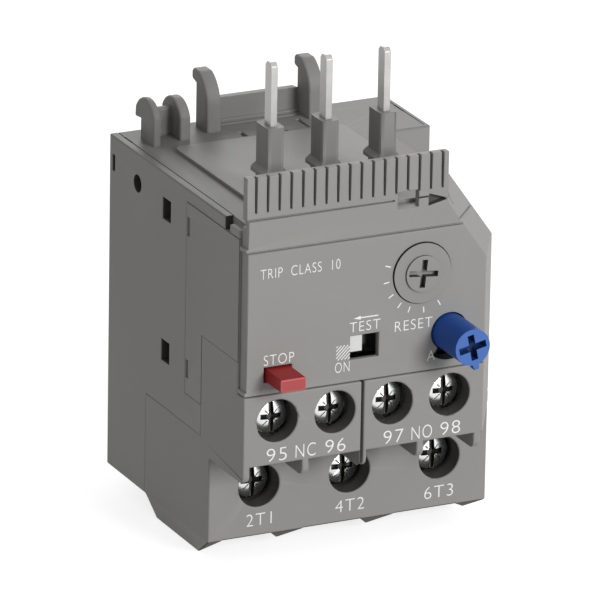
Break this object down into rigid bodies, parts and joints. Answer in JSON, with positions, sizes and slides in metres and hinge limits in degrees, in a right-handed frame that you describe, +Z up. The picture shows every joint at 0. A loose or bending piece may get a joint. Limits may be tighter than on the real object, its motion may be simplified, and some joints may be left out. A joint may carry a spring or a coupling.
{
  "type": "thermal overload relay",
  "caption": "Plug-under thermal overload relay with contact blades, mounting hooks, a setting dial, stop and reset buttons, a test slider and screw clamps for load and control wires.",
  "frame": {"origin": "centre of the bounding box in X and Y, at the tips of the feet under the terminal block", "axes": "+Z up along the contact blades, -Y out of the front face with the buttons, +X to the right of someone who faces the front"},
  "size_m": [0.045, 0.0544, 0.0752],
  "materials": {
    "housing_grey": "moulded, fine grain",
    "dial_grey": "moulded",
    "reset_blue": "moulded",
    "stop_red": "moulded",
    "inner_white": "moulded",
    "inner_black": "moulded",
    "blade_silver": "silver plated",
    "screw_zinc": "zinc plated",
    "spring_steel": "drawn",
    "bimetal": "rolled",
    "heater_wire": "oxidised"
  },
  "bodies": {
    "housing": {"rear_housing": "housing_grey", "side_cover": "housing_grey", "front_cover": "housing_grey", "terminal_block": "housing_grey", "mechanism_frame": "inner_black", "pivot_pin": "screw_zinc", "reset_spring": "spring_steel", "stop_spring": "spring_steel", "carrier_spring": "spring_steel", "blade_sleeve_1": "housing_grey", "contact_blade_1": "blade_silver", "bimetal_strip_1": "bimetal", "heater_winding_1": "heater_wire", "main_bar_1": "blade_silver", "blade_sleeve_2": "housing_grey", "contact_blade_2": "blade_silver", "bimetal_strip_2": "bimetal", "heater_winding_2": "heater_wire", "main_bar_2": "blade_silver", "blade_sleeve_3": "housing_grey", "contact_blade_3": "blade_silver", "bimetal_strip_3": "bimetal", "heater_winding_3": "heater_wire", "main_bar_3": "blade_silver", "aux_bar_95": "blade_silver", "aux_bar_96": "blade_silver", "aux_bar_97": "blade_silver", "aux_bar_98": "blade_silver"},
    "setting_dial": {"setting_dial": "dial_grey", "dial_cam": "inner_white"},
    "reset_selector": {"reset_ring": "inner_white"},
    "reset_button": {"reset_button": "reset_blue"},
    "stop_button": {"stop_button": "stop_red"},
    "test_slider": {"test_slider": "inner_white"},
    "trip_bar": {"trip_bar": "inner_white"},
    "differential_bar": {"differential_bar": "inner_white"},
    "trip_lever": {"trip_lever": "inner_black"},
    "contact_carrier": {"contact_carrier": "inner_white", "opening_bridge": "blade_silver", "closing_bridge": "blade_silver"},
    "main_screw_1": {"main_screw_1": "screw_zinc"},
    "main_clamp_1": {"main_clamp_1": "screw_zinc"},
    "main_screw_2": {"main_screw_2": "screw_zinc"},
    "main_clamp_2": {"main_clamp_2": "screw_zinc"},
    "main_screw_3": {"main_screw_3": "screw_zinc"},
    "main_clamp_3": {"main_clamp_3": "screw_zinc"},
    "aux_screw_95": {"aux_screw_95": "screw_zinc"},
    "aux_clamp_95": {"aux_clamp_95": "screw_zinc"},
    "aux_screw_96": {"aux_screw_96": "screw_zinc"},
    "aux_clamp_96": {"aux_clamp_96": "screw_zinc"},
    "aux_screw_97": {"aux_screw_97": "screw_zinc"},
    "aux_clamp_97": {"aux_clamp_97": "screw_zinc"},
    "aux_screw_98": {"aux_screw_98": "screw_zinc"},
    "aux_clamp_98": {"aux_clamp_98": "screw_zinc"}
  },
  "joints": [
    {"name": "dial_turn", "type": "hinge", "parent": "housing", "child": "setting_dial", "pos_m": [0.00546, -0.0197, 0.0445], "axis": [0, 1, 0], "range_deg": [-150, 150]},
    {"name": "reset_turn", "type": "hinge", "parent": "housing", "child": "reset_selector", "pos_m": [0.0101, -0.0197, 0.0349], "axis": [0, 1, 0], "range_deg": [0, 38]},
    {"name": "reset_press", "type": "slide", "parent": "reset_selector", "child": "reset_button", "axis": [0, 1, 0], "range_m": [0, 0.002], "stiffness_N_per_m": 300, "springref_m": -0.002, "deforming": ["reset_spring"]},
    {"name": "stop_press", "type": "slide", "parent": "housing", "child": "stop_button", "axis": [0, 1, 0], "range_m": [0, 0.002], "stiffness_N_per_m": 250, "springref_m": -0.002, "deforming": ["stop_spring"]},
    {"name": "test_slide", "type": "slide", "parent": "housing", "child": "test_slider", "axis": [1, 0, 0], "range_m": [0, 0.0022]},
    {"name": "trip_slide", "type": "slide", "parent": "housing", "child": "trip_bar", "axis": [1, 0, 0], "range_m": [0, 0.0016]},
    {"name": "differential_slide", "type": "slide", "parent": "housing", "child": "differential_bar", "axis": [1, 0, 0], "range_m": [0, 0.0008]},
    {"name": "lever_turn", "type": "hinge", "parent": "housing", "child": "trip_lever", "pos_m": [0.0162, -0.0003, 0.036], "axis": [0, 1, 0], "range_deg": [-6, 0]},
    {"name": "contact_slide", "type": "slide", "parent": "housing", "child": "contact_carrier", "axis": [0, 0, -1], "range_m": [0, 0.0011], "deforming": ["carrier_spring"]},
    {"name": "main_screw_1_turn", "type": "hinge", "parent": "housing", "child": "main_screw_1", "pos_m": [-0.0144, -0.0058, 0.0107], "axis": [0, 1, 0], "range_deg": [0, 1080]},
    {"name": "main_clamp_1_slide", "type": "slide", "parent": "housing", "child": "main_clamp_1", "axis": [0, -1, 0], "range_m": [0, 0.0021]},
    {"name": "main_screw_2_turn", "type": "hinge", "parent": "housing", "child": "main_screw_2", "pos_m": [0.0002, -0.0058, 0.0107], "axis": [0, 1, 0], "range_deg": [0, 1080]},
    {"name": "main_clamp_2_slide", "type": "slide", "parent": "housing", "child": "main_clamp_2", "axis": [0, -1, 0], "range_m": [0, 0.0021]},
    {"name": "main_screw_3_turn", "type": "hinge", "parent": "housing", "child": "main_screw_3", "pos_m": [0.0148, -0.0058, 0.0107], "axis": [0, 1, 0], "range_deg": [0, 1080]},
    {"name": "main_clamp_3_slide", "type": "slide", "parent": "housing", "child": "main_clamp_3", "axis": [0, -1, 0], "range_m": [0, 0.0021]},
    {"name": "aux_screw_95_turn", "type": "hinge", "parent": "housing", "child": "aux_screw_95", "pos_m": [-0.01715, -0.0176, 0.0251], "axis": [0, 1, 0], "range_deg": [0, 648]},
    {"name": "aux_clamp_95_slide", "type": "slide", "parent": "housing", "child": "aux_clamp_95", "axis": [0, -1, 0], "range_m": [0, 0.0009]},
    {"name": "aux_screw_96_turn", "type": "hinge", "parent": "housing", "child": "aux_screw_96", "pos_m": [-0.00797, -0.0176, 0.0251], "axis": [0, 1, 0], "range_deg": [0, 648]},
    {"name": "aux_clamp_96_slide", "type": "slide", "parent": "housing", "child": "aux_clamp_96", "axis": [0, -1, 0], "range_m": [0, 0.0009]},
    {"name": "aux_screw_97_turn", "type": "hinge", "parent": "housing", "child": "aux_screw_97", "pos_m": [0.00122, -0.0176, 0.0251], "axis": [0, 1, 0], "range_deg": [0, 648]},
    {"name": "aux_clamp_97_slide", "type": "slide", "parent": "housing", "child": "aux_clamp_97", "axis": [0, -1, 0], "range_m": [0, 0.0009]},
    {"name": "aux_screw_98_turn", "type": "hinge", "parent": "housing", "child": "aux_screw_98", "pos_m": [0.0104, -0.0176, 0.0251], "axis": [0, 1, 0], "range_deg": [0, 648]},
    {"name": "aux_clamp_98_slide", "type": "slide", "parent": "housing", "child": "aux_clamp_98", "axis": [0, -1, 0], "range_m": [0, 0.0009]}
  ],
  "couplings": [
    {"joint": "differential_slide", "follows": "trip_slide", "ratio": 0.5},
    {"joint": "lever_turn", "follows": "trip_slide", "rad_per_m": -60.6},
    {"joint": "contact_slide", "follows": "trip_slide", "ratio": 0.6875},
    {"joint": "main_screw_1_turn", "follows": "main_clamp_1_slide", "rad_per_m": 8975.9},
    {"joint": "main_screw_2_turn", "follows": "main_clamp_2_slide", "rad_per_m": 8975.9},
    {"joint": "main_screw_3_turn", "follows": "main_clamp_3_slide", "rad_per_m": 8975.9},
    {"joint": "aux_screw_95_turn", "follows": "aux_clamp_95_slide", "rad_per_m": 12566},
    {"joint": "aux_screw_96_turn", "follows": "aux_clamp_96_slide", "rad_per_m": 12566},
    {"joint": "aux_screw_97_turn", "follows": "aux_clamp_97_slide", "rad_per_m": 12566},
    {"joint": "aux_screw_98_turn", "follows": "aux_clamp_98_slide", "rad_per_m": 12566}
  ]
}
